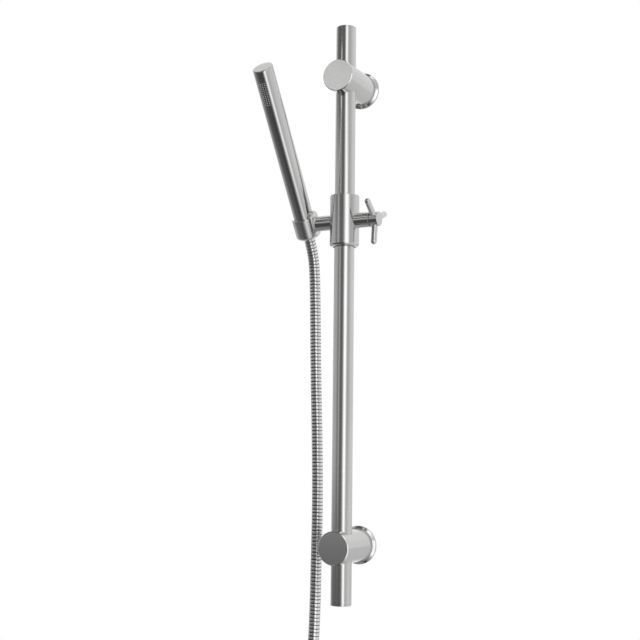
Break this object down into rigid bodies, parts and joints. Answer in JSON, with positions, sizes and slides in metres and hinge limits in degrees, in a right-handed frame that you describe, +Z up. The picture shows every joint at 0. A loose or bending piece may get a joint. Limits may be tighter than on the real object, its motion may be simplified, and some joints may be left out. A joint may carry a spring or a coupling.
{
  "type": "shower slide rail",
  "caption": "Wall-mounted round steel shower rail on round brackets, with a sliding clamp, star knob, tilting holder, stick hand shower and metal hose.",
  "frame": {"origin": "on the wall plane, midway between the axes of the two brackets", "axes": "+Z up along the rail, +Y into the wall, +X to the right as seen by a person facing the wall"},
  "size_m": [0.185, 0.1748, 1.0523],
  "materials": {
    "steel": "satin brushed stainless steel",
    "screw_steel": "plain steel",
    "nylon": "smooth nylon",
    "seal": "soft black rubber",
    "silicone": "dark silicone",
    "brass": "plain brass",
    "hose": "steel spiral wound over a rubber core, weighed as rubber",
    "strap": "woven black strap"
  },
  "bodies": {
    "rail": {"rail_tube": "steel", "top_cap": "steel", "bottom_cap": "steel", "upper_post": "steel", "upper_flange": "steel", "upper_anchor": "screw_steel", "upper_grub_screw": "screw_steel", "upper_rail_screw": "screw_steel", "lower_post": "steel", "lower_flange": "steel", "lower_anchor": "screw_steel", "lower_grub_screw": "screw_steel", "lower_rail_screw": "screw_steel"},
    "liner": {"upper_bush": "nylon", "lower_bush": "nylon"},
    "slider": {"slider_body": "steel", "holder_arm": "steel", "arm_screw": "screw_steel", "pivot_washer": "nylon", "hose_drop": "hose", "hose_coil": "hose", "coil_tie": "strap", "hose_tail": "hose", "lower_ferrule": "brass", "lower_seal": "seal"},
    "clamp": {"pressure_pad": "nylon"},
    "knob": {"knob_spindle": "screw_steel", "knob_hub": "steel", "knob_spoke_1": "steel", "knob_spoke_2": "steel", "knob_spoke_3": "steel"},
    "holder": {"holder_cup": "steel", "handset_tube": "steel", "nozzle_strip": "silicone", "handset_cap": "steel", "handset_connector": "brass", "upper_seal": "seal", "upper_ferrule": "brass", "hose_cone_nut": "steel"},
    "supply_nut": {"supply_nut": "steel"}
  },
  "joints": [
    {"name": "slider_slide", "type": "slide", "parent": "rail", "child": "liner", "axis": [0, 0, 1], "range_m": [-0.342, 0.126]},
    {"name": "slider_swivel", "type": "hinge", "parent": "liner", "child": "slider", "pos_m": [0, -0.05, 0.108], "axis": [0, 0, 1], "range_deg": [-10, 20]},
    {"name": "clamp_travel", "type": "slide", "parent": "slider", "child": "clamp", "axis": [1, 0, 0], "range_m": [0, 0.00125]},
    {"name": "knob_turn", "type": "hinge", "parent": "clamp", "child": "knob", "pos_m": [0, -0.05, 0.108], "axis": [1, 0, 0], "range_deg": [0, 360]},
    {"name": "holder_tilt", "type": "hinge", "parent": "slider", "child": "holder", "pos_m": [0, -0.05, 0.108], "axis": [1, 0, 0], "range_deg": [-34.5, 25.5], "deforming": ["hose_drop"]},
    {"name": "supply_nut_turn", "type": "hinge", "parent": "slider", "child": "supply_nut", "pos_m": [-0.126, -0.0662, -0.68], "axis": [0, 0, 1], "continuous": true}
  ],
  "couplings": [
    {"joint": "clamp_travel", "follows": "knob_turn", "m_per_rad": 0.00019894}
  ]
}
